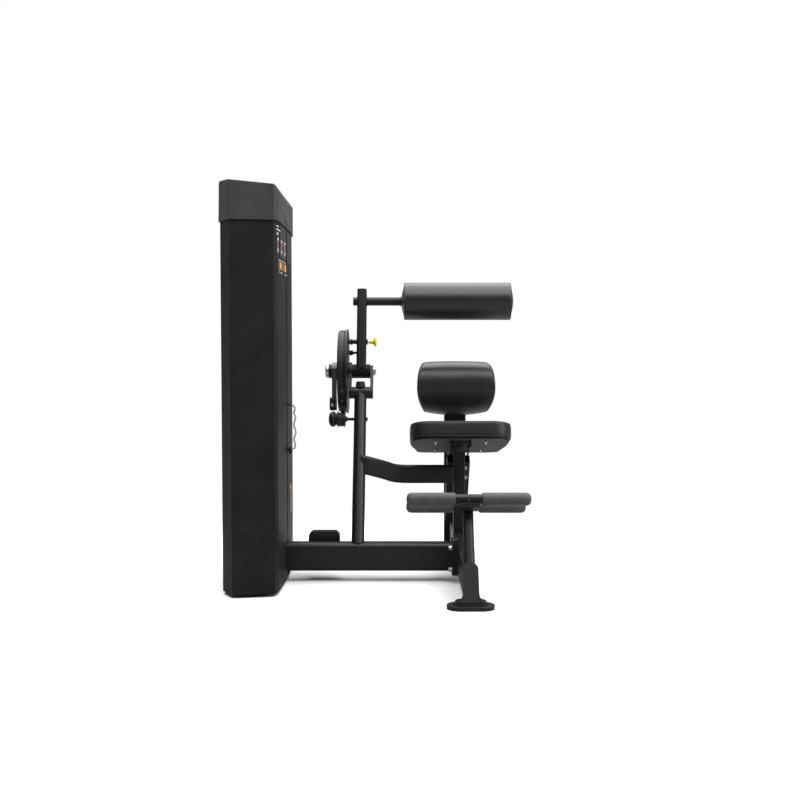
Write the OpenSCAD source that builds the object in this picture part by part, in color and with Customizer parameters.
// Abdominal and back extension machine with a shrouded weight stack.
// Millimetres, +Z up. The user sits facing -Y; the tower stands on the -X side.

/* [Tower] */
// height of the shroud's top edge above the floor
shroud_top = 1433; // [1300:1:1600]
// gap between the floor and the shroud
shroud_gap = 12; // [8:1:30]
// depth of the tower, front to back
tower_depth = 660; // [560:1:760]
// width of the slot the selector pin travels in
slot_w = 28; // [20:1:40]
// sheet thickness of the shroud
shroud_t = 4; // [2:0.5:6]
// top of the cap at its high side
cap_top = 1584; // [1500:1:1700]

/* [Weight stack] */
// pitch from one plate to the next
plate_pitch = 26; // [20:1:32]
// plate thickness
plate_t = 25.5; // [19:0.5:31]
// plate length across the guide rods
plate_len = 300; // [240:5:360]
// plate depth
plate_dep = 110; // [90:5:130]
// height of the centre of the top plate at rest
top_plate_z = 719; // [600:1:900]
// plates above the pin, with the pinned one
upper_count = 7; // [1:1:15]
// plates left below the pin
lower_count = 12; // [4:1:20]
// guide rod diameter
rod_d = 19; // [16:1:25]

/* [Frame] */
// width of the base beam, front to back
beam_w = 80; // [60:5:100]
// height of the base beam
beam_h = 115; // [80:5:140]
// underside of the base beam above the floor
beam_z = 42; // [25:1:60]
// diameter of the leaning support post
post_d = 53; // [42:1:60]
// backward lean of the support post, as Y per unit of Z
post_lean = 0.535; // [0.3:0.005:0.7]
// wall of the square and round tubes
wall = 3; // [2:0.5:5]
// width of the seat frame's tubes
rail_w = 50; // [40:1:60]
// width of the wide seat column
column_w = 100; // [80:1:120]

/* [Pivot and arm] */
// height of the pivot axis
pivot_z = 850; // [780:1:920]
// outside diameter of the pivot tube
pivot_d = 62; // [54:1:70]
// radius that the drive belt lies on
belt_r = 180; // [140:1:190]
// radius of the index plate
index_r = 186; // [170:1:200]
// radius of the circle of index holes
hole_circle_r = 139; // [110:1:150]
// backward lean of the arm at rest, degrees
arm_lean = 20; // [0:1:30]
// distance from the pivot to the roller's axis
roller_arm = 334; // [300:1:380]
// roller pad diameter
roller_d = 168; // [120:1:200]
// roller pad length
roller_len = 508; // [400:1:560]

/* [Seat] */
// seat width
seat_w = 435; // [360:5:480]
// seat depth
seat_dep = 380; // [320:5:440]
// seat cushion thickness
seat_t = 63; // [50:1:90]
// tilt of the seat, front edge up, degrees
seat_tilt = 15; // [0:1:20]
// back pad width
back_w = 365; // [300:5:420]
// back pad height
back_h = 252; // [200:2:300]

/* [Ankle rollers] */
// bare bar diameter
bar_d = 38; // [30:1:42]
// grip diameter
grip_d = 50; // [42:1:60]
// length of one grip
grip_len = 184; // [140:1:220]

/* [Hidden] */
$fn = 64;
// shift from the building frame to the finished frame
cx = -89.6;
cy = 429.25;
seat_x = 258.8;
pivot_y = 710;
tower_mid = tower_depth / 2;
stack_x = -550;
pulley_x = -600;
top_pulley_z = 1335;
low_pulley_z = 149.5;
cable_r = 2;
groove_r = 50;
idler_r = 30;
drum_r = 20;
shaft_z = 645;
post_x = -173;
// centres of the two ankle bars, as [Y, Z]
ankle_1 = [-30, 385];
ankle_2 = [140, 332];
beam_top = beam_z + beam_h;
shaft_y = tower_mid + (shaft_z - beam_top) * post_lean;
lean_len = sqrt(1 + post_lean * post_lean);
post_u = [0, post_lean / lean_len, 1 / lean_len];
leg_slope = 0.575;
pin_z = top_plate_z - upper_count * plate_pitch;
stack_top = top_plate_z + plate_t / 2;
// the two guide rods, as Y
rods = [235, 425];
// centre of the tube across the top of the post, as [Y, Z]
yoke = [649, 757];
turn_z = 118;
turn_r = 25;
frame_black = [0.03, 0.03, 0.035];
pad_black = [0.02, 0.02, 0.022];
zinc = [0.72, 0.72, 0.72];

// ---------- helpers ----------

module place() { translate([-cx, -cy, 0]) children(); }

// rectangle with round corners, centred
module rr(w, h, r) {
  square([w - 2 * r, h], center = true);
  square([w, h - 2 * r], center = true);
  for (i = [-1, 1], j = [-1, 1]) translate([i * (w / 2 - r), j * (h / 2 - r)]) circle(r);
}

// stadium from one point to another
module slot2(a, b, r) {
  d = b - a;
  translate(a) circle(r);
  translate(b) circle(r);
  translate((a + b) / 2) rotate(atan2(d[1], d[0])) square([norm(d), 2 * r], center = true);
}

// a (Y, Z) outline carried along X
module along_x(x0, x1) { translate([x0, 0, 0]) rotate([90, 0, 90]) linear_extrude(x1 - x0) children(); }

// an (X, Z) outline carried along Y
module along_y(y0, y1) { translate([0, y1, 0]) rotate([90, 0, 0]) linear_extrude(y1 - y0) children(); }

module rod_x(x0, x1, y, z, d) { translate([x0, y, z]) rotate([0, 90, 0]) cylinder(d = d, h = x1 - x0); }
module rod_y(y0, y1, x, z, d) { translate([x, y1, z]) rotate([90, 0, 0]) cylinder(d = d, h = y1 - y0); }
module rod_z(z0, z1, x, y, d) { translate([x, y, z0]) cylinder(d = d, h = z1 - z0); }

// round bar between two points
module bar(a, b, d) {
  v = b - a;
  translate(a) rotate([0, acos(v[2] / norm(v)), atan2(v[1], v[0])]) cylinder(d = d, h = norm(v));
}

module box(lo, hi) { translate(lo) cube(hi - lo); }

// hex head with its washer, pointing along +X from x0
module hex_x(x0, y, z, af, h, s) {
  wt = 2.4;
  translate([x0, y, z]) rotate([0, s * 90, 0]) {
    cylinder(d = af * 1.45, h = wt);
    translate([0, 0, wt]) cylinder(d = af * 1.1547, h = h, $fn = 6);
  }
}

// grooved wheel about local Z, cable lying at radius r
module wheel(r, w, bore)
  rotate_extrude() polygon([[bore / 2, -w / 2], [r + 5, -w / 2], [r + 5, -w / 2 + 1.5],
    [r - cable_r - 0.4, -cable_r - 0.5], [r - cable_r - 0.4, cable_r + 0.5],
    [r + 5, w / 2 - 1.5], [r + 5, w / 2], [bore / 2, w / 2]]);

// plan of the tower, grown by o
module tower_plan(o) {
  far = tower_depth;
  bow = [for (y = [60 : 45 : 600]) [-461 - pow(y - tower_mid, 2) / 11800 + o, y]];
  polygon(concat([[-686 - o, far - 80 + 0.2 * o], [-686 - o, 80 - 0.2 * o], [-638 - 0.6 * o, -o],
    [-476.5 + 0.7 * o, 28 - o]], bow, [[-476.5 + 0.7 * o, far - 28 + o], [-638 - 0.6 * o, far + o]]));
}

module shroud_ring() {
  difference() {
    translate([0, 0, shroud_gap]) linear_extrude(shroud_top - shroud_gap)
      difference() { tower_plan(0); tower_plan(-shroud_t); }
    box([-500, tower_mid - slot_w / 2, 0], [-440, tower_mid + slot_w / 2, 1500]);
    box([-500, tower_mid - beam_w / 2 - 3, 0], [-440, tower_mid + beam_w / 2 + 3, beam_top + 4]);
  }
}

// ---------- tower ----------

module tower_base() color(frame_black) place() {
  difference() {
    box([-672, 66, 12], [-492, 594, beam_z]);
    box([-666, 72, 11], [-498, 588, beam_z - 6]);
  }
  for (y = rods) box([stack_x - 25, y - 20, beam_z], [stack_x + 25, y + 20, 150]);
}

module tower_feet() color(pad_black) place()
  for (x = [-652, -512], y = [90, 570]) {
    rod_z(0, 12, x, y, 38);
    rod_z(12, beam_z - 6, x, y, 12);
  }

module tower_uprights() color(frame_black) place()
  for (y = [110, 550]) translate([-610, y, beam_z]) linear_extrude(1392 - beam_z)
    difference() { rr(60, 40, 5); rr(54, 34, 3); }

module tower_crosshead() color(frame_black) place()
  difference() {
    box([-645, 85, 1392], [-510, 575, 1427]);
    box([-641, 80, 1396], [-514, 580, 1423]);
  }

module shroud_front() color([0.06, 0.06, 0.065]) place()
  intersection() { shroud_ring(); box([-700, -20, 0], [-440, tower_mid - 0.5, 1500]); }

module shroud_rear() color([0.06, 0.06, 0.065]) place()
  intersection() { shroud_ring(); box([-700, tower_mid + 0.5, 0], [-440, 700, 1500]); }

// side outline of the cap, drawn in by i
module cap_side(i)
  polygon(concat([[-692 + i, shroud_top], [-690 + i, 1500], [-689 + i, cap_top - 10 - i],
    [-688 + i, cap_top - 4 - i], [-684 + i, cap_top - i]],
    [for (a = [0 : 9 : 90]) [-477 + (22 - i) * sin(a), 1518 + (cap_top - 1534 - i) * cos(a)]],
    [[-455 - i, shroud_top]]));

module top_cap() color([0.19, 0.19, 0.195]) place()
  difference() {
    intersection() {
      translate([0, 0, shroud_top]) linear_extrude(160) tower_plan(6);
      along_y(-10, 670) cap_side(0);
    }
    intersection() {
      translate([0, 0, shroud_top - 1]) linear_extrude(160) tower_plan(1.5);
      along_y(-10, 670) translate([0, -1]) cap_side(4.5);
    }
  }

module emblem_panel() color([0.22, 0.22, 0.225]) place()
  intersection() {
    along_x(-480, -440) translate([tower_mid, 1476]) rr(176, 56, 20);
    difference() {
      translate([0, 0, 1440]) linear_extrude(80) tower_plan(7.6);
      translate([0, 0, 1439]) linear_extrude(82) tower_plan(6);
    }
  }

module placards() color([0.09, 0.09, 0.1]) place()
  difference() {
    translate([0, 0, 200]) linear_extrude(1300) tower_plan(1.6);
    translate([0, 0, 199]) linear_extrude(1302) tower_plan(0);
    box([-700, -20, 0], [-480, 700, 1500]);
    box([-600, -20, 0], [-440, 130, 1600]);
    box([-600, 530, 0], [-440, 700, 1600]);
    box([-600, tower_mid - slot_w / 2 - 3, 0], [-440, tower_mid + slot_w / 2 + 3, 1600]);
    box([-600, -20, 1428], [-440, 700, 1600]);
    box([-600, -20, 0], [-440, 400, 1240]);
    box([-600, -20, 1298], [-440, 700, 1302]);
    box([-600, 120, 1200], [-440, 172, 1300]);
    box([-600, 347, 382], [-440, 700, 1300]);
    box([-600, 340, 0], [-440, 420, 400]);
    box([-600, 500, 0], [-440, 700, 400]);
    box([-600, 340, 0], [-440, 700, 260]);
  }

module guide_rods() color([0.8, 0.8, 0.82]) place()
  for (y = rods) rod_z(150, 1392, stack_x, y, rod_d);

module plate_at(z, hole) {
  difference() {
    box([stack_x - plate_dep / 2, tower_mid - plate_len / 2, z - plate_t / 2],
      [stack_x + plate_dep / 2, tower_mid + plate_len / 2, z + plate_t / 2]);
    for (y = rods) rod_z(z - 20, z + 20, stack_x, y, rod_d + 1.4);
    rod_z(z - 20, z + 20, stack_x, tower_mid, 26);
    rod_x(stack_x - 16, stack_x + 80, tower_mid, z, hole);
  }
}

module lower_plates() color([0.05, 0.05, 0.05]) place()
  for (i = [1 : lower_count]) plate_at(pin_z - i * plate_pitch, 11);

module upper_plates() color([0.05, 0.05, 0.05]) place()
  for (i = [0 : upper_count - 1]) plate_at(pin_z + i * plate_pitch, 11);

module top_plate() color([0.05, 0.05, 0.05]) place() {
  difference() {
    box([stack_x - plate_dep / 2, tower_mid - plate_len / 2, top_plate_z - plate_t / 2],
      [stack_x + plate_dep / 2, tower_mid + plate_len / 2, top_plate_z + plate_t / 2]);
    for (y = rods) rod_z(600, 800, stack_x, y, rod_d + 0.16);
    rod_z(600, 800, stack_x, tower_mid, 22);
  }
  // hook that the pin's lanyard hangs from
  difference() {
    box([stack_x + plate_dep / 2, tower_mid - 5, 716], [-444, tower_mid + 5, 728]);
    rod_y(tower_mid - 8, tower_mid + 8, -450, 722, 5);
  }
}

module selector_rod() color(zinc) place()
  difference() {
    union() {
      rod_z(pin_z - 11.2 * plate_pitch, stack_top, stack_x, tower_mid, 22);
      rod_z(stack_top, stack_top + 8, stack_x, tower_mid, 34);
      rod_z(stack_top + 8, stack_top + 30, stack_x, tower_mid, 14);
    }
    for (i = [-11 : upper_count - 1])
      rod_x(stack_x - 20, stack_x + 20, tower_mid, pin_z + i * plate_pitch, 10.6);
  }

module selector_pin() color([0.05, 0.05, 0.05]) place() {
  rod_x(stack_x - 12, -454, tower_mid, pin_z, 10);
  translate([-454, tower_mid, pin_z]) rotate([0, 90, 0]) rotate_extrude()
    polygon([[0, 0], [13, 0], [16, 3], [16, 9], [13, 14], [0, 14]]);
}

module pin_lanyard() color([0.03, 0.03, 0.03]) place() {
  pts = [[-450, 330, 713], [-434, 330, 700], [-428, 330, 660], [-436, 330, 630],
    [-427, 330, 600], [-434, 330, 565], [-436, 330, 556]];
  for (i = [0 : 5]) bar(pts[i], pts[i + 1], 9);
  for (i = [1 : 5]) translate(pts[i]) sphere(d = 10);
}

module stack_cushions() color(pad_black) place()
  for (y = rods) difference() {
    rod_z(150, pin_z - lower_count * plate_pitch - plate_t / 2 - 0.4, stack_x, y, 50);
    rod_z(149, 230, stack_x, y, rod_d + 0.6);
  }

module pulley_brackets() color(frame_black) place() {
  for (s = [-1, 1]) {
    y = tower_mid + s * 14;
    along_y(y - 2.5, y + 2.5) difference() {
      translate([pulley_x - 20, top_pulley_z - 20]) square([40, 1392 - top_pulley_z + 20]);
      translate([pulley_x, top_pulley_z]) circle(6);
    }
    along_y(y - 2.5, y + 2.5) difference() {
      translate([pulley_x - 25, beam_z]) square([50, low_pulley_z + 20 - beam_z]);
      translate([pulley_x, low_pulley_z]) circle(6);
    }
  }
  for (z = [top_pulley_z, low_pulley_z]) rod_y(tower_mid - 22, tower_mid + 22, pulley_x, z, 12);
}

module top_pulley() color([0.1, 0.1, 0.1]) place()
  translate([pulley_x, tower_mid, top_pulley_z]) rotate([90, 0, 0]) wheel(groove_r, 14, 12.16);

module low_pulley() color([0.1, 0.1, 0.1]) place()
  translate([pulley_x, tower_mid, low_pulley_z]) rotate([90, 0, 0]) wheel(groove_r, 14, 12.16);

// ---------- base and frame ----------

module base_beam() color(frame_black) place() {
  difference() {
    along_x(-530, 211) translate([tower_mid, beam_z + beam_h / 2])
      difference() { rr(beam_w, beam_h, 20); rr(beam_w - 8, beam_h - 8, 16); }
    intersection() {
      bar([post_x, tower_mid - 80 * post_lean, beam_top - 80],
        [post_x, tower_mid + 20 * post_lean, beam_top + 20], post_d - 2 * wall);
      box([post_x - 40, 200, beam_top - 6], [post_x + 40, 460, beam_top + 20]);
    }
  }
  along_x(211, 218.5) translate([tower_mid, 97.5]) difference() { rr(136, 135, 8); bolt_spots(7); }
  // axle of the turning pulley, with a shoulder each side
  bar(turn_c - 42 * turn_n, turn_c + 42 * turn_n, 7.84);
  for (s = [-1, 1]) bar(turn_c + s * 5.5 * turn_n, turn_c + s * 42 * turn_n, 13);
}

module bolt_spots(r) { for (y = [-53, 53], z = [-44, 44]) translate([y, z]) circle(r); }

module beam_bolts() color(zinc) place()
  for (y = [tower_mid - 53, tower_mid + 53], z = [53.5, 141.5]) {
    rod_x(211, 226, y, z, 12);
    hex_x(211, y, z, 15, 11, -1);
    hex_x(226, y, z, 15, 4.6, 1);
  }

module pulley_guard() color(frame_black) place()
  difference() {
    along_y(tower_mid + beam_w / 2, 415) translate([-314.5, 127]) rr(129, 134, 24);
    along_y(tower_mid + beam_w / 2 + 4, 416) translate([-314.5, 127]) rr(121, 126, 20);
  }

module support_post() color(frame_black) place()
  difference() {
    bar([post_x, tower_mid - 60 * post_lean, beam_top - 60],
      [post_x, tower_mid + 590 * post_lean, beam_top + 590], post_d);
    bar([post_x, tower_mid - 70 * post_lean, beam_top - 70],
      [post_x, tower_mid + 600 * post_lean, beam_top + 600], post_d - 2 * wall);
    box([-260, 200, 0], [-80, 420, beam_top]);
    rod_x(-260, -80, yoke[0], yoke[1], 52);
    rod_x(-260, -80, shaft_y, shaft_z, 13.16);
  }

module pivot_yoke() color(frame_black) place() {
  difference() {
    rod_x(-213.5, -130.5, yoke[0], yoke[1], 52);
    rod_x(-214.5, -129.5, yoke[0], yoke[1], 44);
  }
  along_x(-224.5, -213.5) difference() {
    slot2(yoke, [pivot_y, pivot_z], 26);
    translate([pivot_y, pivot_z]) circle(d = pivot_d + 12);
  }
  along_x(-224.5, -213.5) translate([pivot_y, pivot_z]) difference() {
    circle(d = pivot_d + 18);
    circle(d = pivot_d + 0.16);
  }
  along_x(-130.5, -118.5) difference() {
    slot2(yoke, [pivot_y, pivot_z], 26);
    translate([pivot_y, pivot_z]) circle(12.5);
  }
}

module post_bumper() color(pad_black) place()
  translate([post_x, yoke[0], yoke[1] + 26]) cylinder(d1 = 44, d2 = 36, h = 24);

module pivot_shaft() color([0.8, 0.8, 0.82]) place() {
  rod_x(-318, -114.5, pivot_y, pivot_z, 25);
  translate([-330, pivot_y, pivot_z]) rotate([0, 90, 0]) rotate_extrude()
    polygon([[0, 0], [25, 0], [30, 5], [30, 14.5], [0, 14.5]]);
  hex_x(-118.5, pivot_y, pivot_z, 30, 9, 1);
}

// slice of the brace at p, which is [X, Y, Z, heading]
module brace_section(p) translate([p[0], p[1], p[2]]) rotate([0, 0, p[3]]) rotate([90, 0, 90])
  linear_extrude(0.2) rr(40, 78, 10);

module brace_tube() color(frame_black) place() {
  s = [[-154, 486, 458, 38], [-60, 562, 424, 38], [-30, 583, 412, 22], [0, 593, 407, 8],
    [30, 596, 406, 0], [seat_x - 25.2, 596, 406, 0]];
  difference() {
    for (i = [0 : 4]) hull() {
      brace_section(s[i]);
      brace_section(s[i + 1]);
    }
    bar([post_x, tower_mid, beam_top],
      [post_x, tower_mid + 590 * post_lean, beam_top + 590], post_d + 0.1);
  }
}

module post_bolts() color(zinc) place()
  for (z = [388, 430]) hex_x(seat_x + rail_w / 2, 640, z, 17, 8, 1);

module base_rail() color(frame_black) place() {
  difference() {
    along_y(-140, 984) translate([seat_x, 88.5]) difference() {
      rr(rail_w, 117, 8);
      rr(rail_w - 2 * wall, 117 - 2 * wall, 5);
    }
    bar([seat_x, 49 + leg_slope * 60, 440], [seat_x, 49 - leg_slope * 400, -20], 40);
    along_x(200, 320) polygon([[-400, -50], [49 - leg_slope * 430, -50], [49 - leg_slope * 180, 200],
      [-400, 200]]);
    box([200, -200, 0], [320, -110, 31]);
  }
  along_x(226, seat_x - rail_w / 2) translate([tower_mid, 97.5])
    difference() { translate([0, 8]) rr(136, 151, 8); bolt_spots(11.6); }
  along_x(218.5, 226) translate([tower_mid, 97.5])
    difference() { translate([0, 8]) rr(136, 151, 8); bolt_spots(7); }
}

module seat_post() color(frame_black) place()
  difference() {
    translate([seat_x, 640, 147]) linear_extrude(400) difference() { rr(50, 50, 6); rr(44, 44, 3); }
    seat_frame() box([-200, -250, -101], [200, 250, 20]);
  }

// carries children from the seat's own frame (origin at the middle of its top face)
module seat_frame() translate([seat_x, 640, 598]) rotate([-seat_tilt, 0, 0]) children();

module rear_column() color(frame_black) place() {
  difference() {
    box([seat_x - column_w / 2, 984, 30], [seat_x + column_w / 2, 1034, 880]);
    box([seat_x - column_w / 2 + 4, 988, 20], [seat_x + column_w / 2 - 4, 1040, 876]);
  }
}

module seat_strut() color(frame_black) place()
  difference() {
    translate([seat_x, 707, 470]) rotate([-50.5, 0, 0])
      translate([-column_w / 2, -10, -45]) cube([column_w, 460, 45]);
    translate([seat_x, 707, 470]) rotate([-50.5, 0, 0])
      translate([-column_w / 2 + 4, -20, -41]) cube([column_w - 8, 480, 37]);
    box([150, 984, 0], [400, 1300, 900]);
    box([150, 500, 0], [400, 1300, 147]);
    seat_frame() box([-200, -250, -101], [200, 250, 20]);
  }

module front_leg() color(frame_black) place()
  difference() {
    bar([seat_x, 49, 380], [seat_x, 49 - leg_slope * 380, 0], 40);
    bar([seat_x, 49 + leg_slope * 20, 400], [seat_x, 49 - leg_slope * 390, -10], 34);
    box([150, -400, -20], [400, 0, 30]);
    ankle_plate();
    rod_x(200, 320, ankle_1[0], ankle_1[1], bar_d);
  }

module foot_bracket() color(frame_black) place() {
  difference() {
    translate([seat_x, 49 - leg_slope * 231, 149]) rotate([-atan(leg_slope), 0, 0]) along_y(-28.2, -20.2) {
      translate([0, -30]) circle(30);
      polygon([[-30, -30], [30, -30], [30, -120], [31.5, -129], [35, -137], [41, -145], [46, -150],
        [46, -190], [-46, -190], [-46, -150], [-41, -145], [-35, -137], [-31.5, -129], [-30, -120]]);
    }
    box([100, -400, -60], [420, 200, 29.9]);
  }
  translate([seat_x, -151, 22]) linear_extrude(8) rr(114, 66, 32);
}

module foot_pad(y) {
  translate([seat_x, y, 0]) {
    linear_extrude(22) rr(130, 74, 36.9);
    linear_extrude(15) rr(176, 95, 47.4);
  }
}

module foot_pads() color(pad_black) place() {
  foot_pad(-151.5);
  foot_pad(1010);
  translate([seat_x, 1010, 22]) linear_extrude(8) rr(100, 60, 20);
}

// ---------- seat ----------

// plan of the seat, drawn in by i, narrower towards its back
module seat_plan(i) {
  half = seat_w / 2 - i;
  intersection() {
    rr(seat_w - 2 * i, seat_dep - 2 * i, 85 - i);
    polygon([[-half - 60, -seat_dep], [half + 60, -seat_dep],
      [half - 60, seat_dep], [60 - half, seat_dep]]);
  }
}

module seat_cushion() color(pad_black) place() seat_frame()
  translate([0, 0, -seat_t]) {
    linear_extrude(seat_t - 12) seat_plan(0);
    translate([0, 0, seat_t - 12]) linear_extrude(12) seat_plan(6);
  }

module seat_board() color([0.08, 0.08, 0.085]) place() seat_frame()
  translate([0, 0, -seat_t - 12]) linear_extrude(12) difference() {
    seat_plan(12);
    for (x = [-28, 28], y = [-100, 100]) translate([x, y]) circle(4.3);
    for (x = [-150, 150], y = [-120, 120]) translate([x, y]) circle(4);
  }

module seat_bracket() color(frame_black) place() seat_frame()
  translate([0, 0, -seat_t - 12]) difference() {
    translate([-44.5, -130, -26]) cube([89, 260, 26]);
    translate([-40.5, -140, -31]) cube([81, 280, 27]);
    for (x = [-28, 28], y = [-100, 100]) translate([x, y, -30]) cylinder(r = 4.3, h = 40);
  }

module seat_screws() color(zinc) place() seat_frame()
  for (x = [-28, 28], y = [-100, 100]) translate([x, y, -seat_t - 12]) {
    translate([0, 0, -4]) cylinder(d = 8, h = 16);
    translate([0, 0, -10]) cylinder(d = 15, h = 6, $fn = 6);
  }

module back_cushion() color(pad_black) place()
  intersection() {
    along_x(seat_x - back_w / 2, seat_x + back_w / 2) difference() {
      translate([987, 767]) circle(127);
      translate([970, 600]) square([200, 400]);
    }
    along_y(800, 1000) translate([seat_x, 767]) polygon(concat(
      [for (t = [-1 : 0.1 : 1.01]) [back_w / 2 - 33 * t * t, t * back_h / 2]],
      [for (t = [-1 : 0.1 : 1.01]) [33 * t * t - back_w / 2, -t * back_h / 2]]));
  }

module back_board() color([0.08, 0.08, 0.085]) place() {
  along_y(970, 982) translate([seat_x, 767]) rr(back_w - 30, back_h - 30, 32);
  along_y(982, 984) translate([seat_x, 767]) rr(120, 180, 8);
}

// ---------- ankle rollers ----------

module ankle_plate() {
  along_x(seat_x - 5, seat_x + 5) slot2(ankle_1 - [0, 7], ankle_2 - [0, 4], 21);
  // saddle that the front bar sits on
  along_x(seat_x - 40, seat_x + 40) difference() {
    polygon([[-58, 378], [-50, 358], [-26, 344], [10, 334], [14, 346], [-4, 372]]);
    translate(ankle_1) circle(bar_d / 2);
  }
}

module ankle_bracket() color(frame_black) place()
  difference() {
    ankle_plate();
    for (p = [ankle_1, ankle_2]) rod_x(150, 360, p[0], p[1], bar_d);
  }

module ankle_bars() color(frame_black) place()
  for (p = [ankle_1, ankle_2]) rod_x(seat_x - 226, seat_x + 226, p[0], p[1], bar_d);

module ankle_grips() color([0.16, 0.16, 0.165]) place()
  for (p = [ankle_1, ankle_2], s = [-1, 1]) translate([seat_x + s * 50.5, p[0], p[1]])
    rotate([0, s * 90, 0]) rotate_extrude() polygon([[bar_d / 2, 0], [grip_d / 2 - 3, 0],
      [grip_d / 2, 4], [grip_d / 2, grip_len - 20], [grip_d / 2 - 1.5, grip_len - 13],
      [grip_d / 2 - 4.5, grip_len - 7.5], [grip_d / 2 - 9, grip_len - 3.3],
      [grip_d / 2 - 15, grip_len - 0.8], [0, grip_len], [0, 175.5], [bar_d / 2, 175.5]]);

// ---------- drive ----------

turn_n = [0, -post_u[2], post_u[1]];
drum_off = drum_r * [0, post_u[2], -post_u[1]];
turn_c = [post_x - turn_r, shaft_y + drum_off[1] - (shaft_z + drum_off[2] - turn_z) * post_lean, turn_z];

module drive_cable() color([0.1, 0.1, 0.1]) place() {
  rod_z(low_pulley_z, top_pulley_z, pulley_x - groove_r, tower_mid, 2 * cable_r);
  translate([pulley_x, tower_mid, top_pulley_z]) rotate([90, 0, 0])
    rotate([0, 0, -0.2]) rotate_extrude(angle = 180.4) translate([groove_r, 0]) circle(cable_r - 0.05);
  translate([pulley_x, tower_mid, low_pulley_z]) rotate([90, 0, 0]) rotate([0, 0, 179.8])
    rotate_extrude(angle = 90.4) translate([groove_r, 0]) circle(cable_r - 0.05);
  bar([pulley_x, tower_mid, low_pulley_z - groove_r], turn_c - turn_r * post_u, 2 * cable_r);
  translate(turn_c) multmatrix(turn_frame()) rotate([0, 0, -90.2])
    rotate_extrude(angle = 90.4) translate([turn_r, 0]) circle(cable_r - 0.05);
  bar(turn_c + [turn_r, 0, 0], [post_x, shaft_y, shaft_z] + drum_off, 2 * cable_r);
}

// local X along +X, local Y along the post, local Z the turning pulley's axle
function turn_frame() = [[1, 0, 0, 0], [0, post_u[1], -post_u[2], 0],
  [0, post_u[2], post_u[1], 0], [0, 0, 0, 1]];

module turn_pulley() color([0.1, 0.1, 0.1]) place()
  translate(turn_c) multmatrix(turn_frame()) wheel(turn_r, 10, 8);

// tangent line from the idler to the cam, along their lower rear
dy = pivot_y - shaft_y;
dz = pivot_z - shaft_z;
cd = sqrt(dy * dy + dz * dz);
tan_a = atan2(dz, dy) - 90 - asin((belt_r - idler_r) / cd);
tan_n = [0, cos(tan_a), sin(tan_a)];

module drive_belt() color([0.04, 0.04, 0.04]) place() {
  a = [-253, shaft_y, shaft_z] + (idler_r + 0.2) * tan_n;
  b = [-253, pivot_y, pivot_z] + (belt_r + 0.2) * tan_n;
  v = b - a;
  translate(a) rotate([atan2(v[2], v[1]), 0, 0]) translate([-11, 0, -1.5]) cube([22, norm(v) - 38, 3]);
}

module idler_shaft() color([0.35, 0.35, 0.36]) place() {
  rod_x(-304, -141, shaft_y, shaft_z, 13);
  translate([-308, shaft_y, shaft_z]) rotate([0, 90, 0]) rotate_extrude() polygon([[0, 0], [14, 0],
    [26, 4], [32, 11], [34, 18], [33, 25], [26, 30], [26, 35], [36, 38], [36, 41],
    [idler_r - 1.8, 42.4], [idler_r - 1.8, 67.6], [36, 69], [36, 71.4], [0, 71.4]]);
  rod_x(post_x - 8, post_x + 8, shaft_y, shaft_z, 2 * (drum_r - cable_r - 0.4));
  hex_x(-236.7, shaft_y, shaft_z, 19, 7, 1);
  hex_x(-146.2, shaft_y, shaft_z, 13, 4, 1);
}

module pivot_tube() color(frame_black) place() {
  translate([-314.5, pivot_y, pivot_z]) rotate([0, 90, 0]) rotate_extrude() polygon([
    [12.55, 0], [pivot_d / 2, 0], [pivot_d / 2, 106], [25, 106], [25, 183.4], [12.55, 183.4]]);
}

module cam_disc() color(frame_black) place()
  along_x(-236, -229) translate([pivot_y, pivot_z]) difference() {
    circle(index_r);
    circle(pivot_d / 2);
    for (i = [0 : 10 : 50]) rotate(90 - arm_lean + 30 - i) translate([hole_circle_r, 0]) circle(5.5);
    translate([112, -200]) square([100, 400]);
  }

module cam_rim() color([0.05, 0.05, 0.055]) place() {
  along_x(-270, -236) translate([pivot_y, pivot_z]) difference() {
    circle(belt_r - 3.3);
    circle(belt_r - 15);
  }
  along_x(-242, -236) translate([pivot_y, pivot_z]) difference() {
    union() for (a = [45, 135, 225, 315]) rotate(a) translate([0, -14]) square([belt_r - 8, 28]);
    circle(pivot_d / 2);
    difference() { circle(200); circle(belt_r - 14.9); }
  }
  along_x(-264, -242) translate([pivot_y, pivot_z]) difference() {
    circle(belt_r + 1.3);
    circle(belt_r - 3.3);
  }
  // clamp that holds the end of the belt
  along_x(-266, -238) translate([pivot_y, pivot_z]) intersection() {
    difference() { circle(belt_r + 5.5); circle(belt_r - 3.2); }
    polygon([[0, 0], [-282, -103], [-240, -208], [-197, -226.6]]);
  }
}

module cam_lever() color([0.25, 0.25, 0.26]) place() {
  along_x(-300, -279) difference() {
    union() {
      translate([pivot_y, pivot_z]) circle(pivot_d / 2 + 8);
      translate([pivot_y - 39, pivot_z - 120]) square([8, 120]);
    }
    translate([pivot_y, pivot_z]) circle(pivot_d / 2);
  }
  along_x(-309, -279) translate([pivot_y - 38, pivot_z - 143]) rr(42, 56, 14);
}

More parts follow.
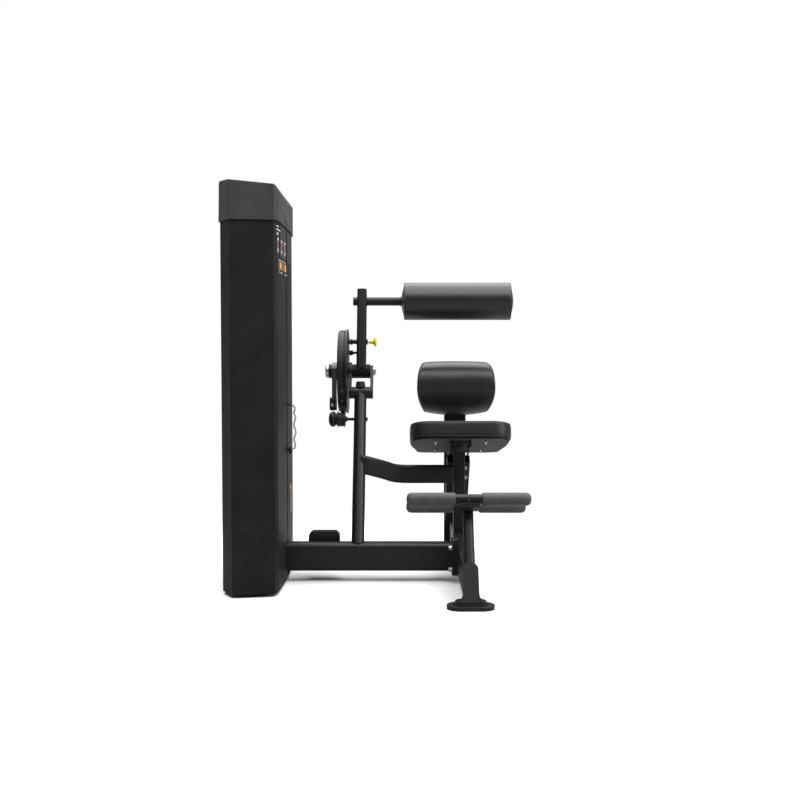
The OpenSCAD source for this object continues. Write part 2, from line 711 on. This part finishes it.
module swing_arm() color(frame_black) place() {
  difference() {
    translate([post_x + 1, pivot_y, pivot_z]) rotate([-arm_lean, 0, 0]) {
      translate([0, 0, 5]) linear_extrude(375) difference() { rr(42, 70, 11); rr(36, 64, 8); }
      translate([0, 0, 380]) linear_extrude(3) rr(42, 70, 11);
    }
    rod_x(-220, -120, pivot_y, pivot_z, pivot_d);
    translate([0, pivot_y, pivot_z]) rotate([-arm_lean, 0, 0]) {
      rod_x(-230, -120, 0, roller_arm, 38);
      rod_x(-230, -120, 0, hole_circle_r, 20);
      rod_x(-230, -120, 0, 87, 11);
    }
  }
  difference() {
    rod_x(-207.8, -131.5, pivot_y, pivot_z, pivot_d);
    rod_x(-209, -130, pivot_y, pivot_z, 50.16);
  }
  // rubber-tipped stop stud
  translate([0, pivot_y, pivot_z]) rotate([-arm_lean, 0, 0]) {
    rod_x(-224, -150, 0, 87, 11);
    rod_x(-226, -210, 0, 87, 22);
  }
}

module plunger_barrel() color(frame_black) place()
  translate([0, pivot_y, pivot_z]) rotate([-arm_lean, 0, 0]) difference() {
    union() {
      rod_x(-227, -144, 0, hole_circle_r, 20);
      rod_x(-221, -213, 0, hole_circle_r, 26);
      rod_x(-150.9, -144, 0, hole_circle_r, 25);
    }
    rod_x(-230, -140, 0, hole_circle_r, 10.1);
  }

module pop_pin() color([0.8, 0.8, 0.82]) place()
  translate([0, pivot_y, pivot_z]) rotate([-arm_lean, 0, 0]) rod_x(-228.2, -128, 0, hole_circle_r, 10);

module pull_knob() color([0.95, 0.85, 0.02]) place()
  translate([-137, pivot_y, pivot_z]) rotate([-arm_lean, 0, 0]) translate([0, 0, hole_circle_r])
    rotate([0, 90, 0]) rotate_extrude() polygon([[5, 0], [9.5, 0], [9.5, 12], [10.5, 17], [14, 21],
      [21.5, 25.5], [22.5, 28], [18, 32], [0, 33], [0, 9.2], [5, 9.2]]);

module roller_shaft() color(frame_black) place()
  translate([0, pivot_y, pivot_z]) rotate([-arm_lean, 0, 0]) {
    rod_x(-212, 506, 0, roller_arm, 38);
    rod_x(0, 4.2, 0, roller_arm, 44);
  }

module roller_cushion() color(pad_black) place()
  translate([4.8, pivot_y, pivot_z]) rotate([-arm_lean, 0, 0]) translate([0, 0, roller_arm])
    rotate([0, 90, 0]) rotate_extrude() polygon([[19.08, 0], [60, 0], [74, 3], [roller_d / 2 - 3, 9],
      [roller_d / 2, 18], [roller_d / 2, roller_len - 18], [roller_d / 2 - 3, roller_len - 9],
      [74, roller_len - 3], [60, roller_len], [0, roller_len], [0, 501.6], [19.08, 501.6]]);

module lift_cable() color([0.1, 0.1, 0.1]) place()
  rod_z(stack_top + 30, top_pulley_z - 0.6, stack_x, tower_mid, 2 * cable_r);

// ---------- all nodes ----------

tower_base();
tower_feet();
tower_uprights();
tower_crosshead();
shroud_front();
shroud_rear();
top_cap();
emblem_panel();
placards();
guide_rods();
lower_plates();
stack_cushions();
base_beam();
beam_bolts();
pulley_guard();
support_post();
pivot_yoke();
post_bumper();
pivot_shaft();
brace_tube();
post_bolts();
base_rail();
seat_post();
rear_column();
seat_strut();
front_leg();
foot_bracket();
foot_pads();
seat_bracket();
seat_board();
seat_cushion();
seat_screws();
back_board();
back_cushion();
ankle_bracket();
ankle_bars();
ankle_grips();
pulley_brackets();
drive_cable();
drive_belt();
pivot_tube();
cam_disc();
cam_rim();
cam_lever();
swing_arm();
plunger_barrel();
roller_shaft();
pop_pin();
pull_knob();
roller_cushion();
top_plate();
upper_plates();
selector_rod();
selector_pin();
pin_lanyard();
lift_cable();
top_pulley();
low_pulley();
turn_pulley();
idler_shaft();
